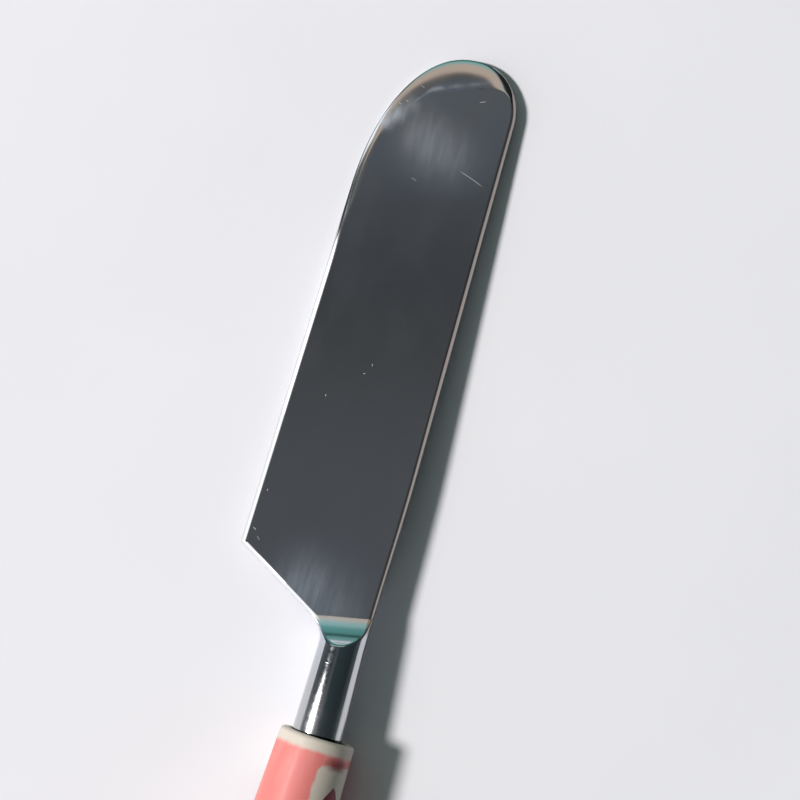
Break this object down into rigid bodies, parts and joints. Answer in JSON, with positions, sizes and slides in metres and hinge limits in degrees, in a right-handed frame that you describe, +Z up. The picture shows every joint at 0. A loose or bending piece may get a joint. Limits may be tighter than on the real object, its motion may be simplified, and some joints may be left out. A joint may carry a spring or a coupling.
{
  "type": "table knife",
  "caption": "Table knife for butter or spreads: broad polished steel blade with a rounded tip, angled heel and round neck, set in a tapered painted ceramic handle.",
  "frame": {"origin": "centre of the underside of the knife's bounding box, on the table that it lies on", "axes": "+X along the knife from the handle's butt to the blade's tip, +Y towards the cutting edge, +Z up from the table; the knife lies on its side, on the handle's taper and the edge side of the blade"},
  "size_m": [0.2006, 0.024, 0.0174],
  "materials": {
    "polished_steel": "polished",
    "painted_ceramic": "gloss",
    "cement": "matte"
  },
  "bodies": {
    "root": {"knife_blank": "polished_steel", "ceramic_handle": "painted_ceramic", "cement_core": "cement"}
  },
  "joints": []
}
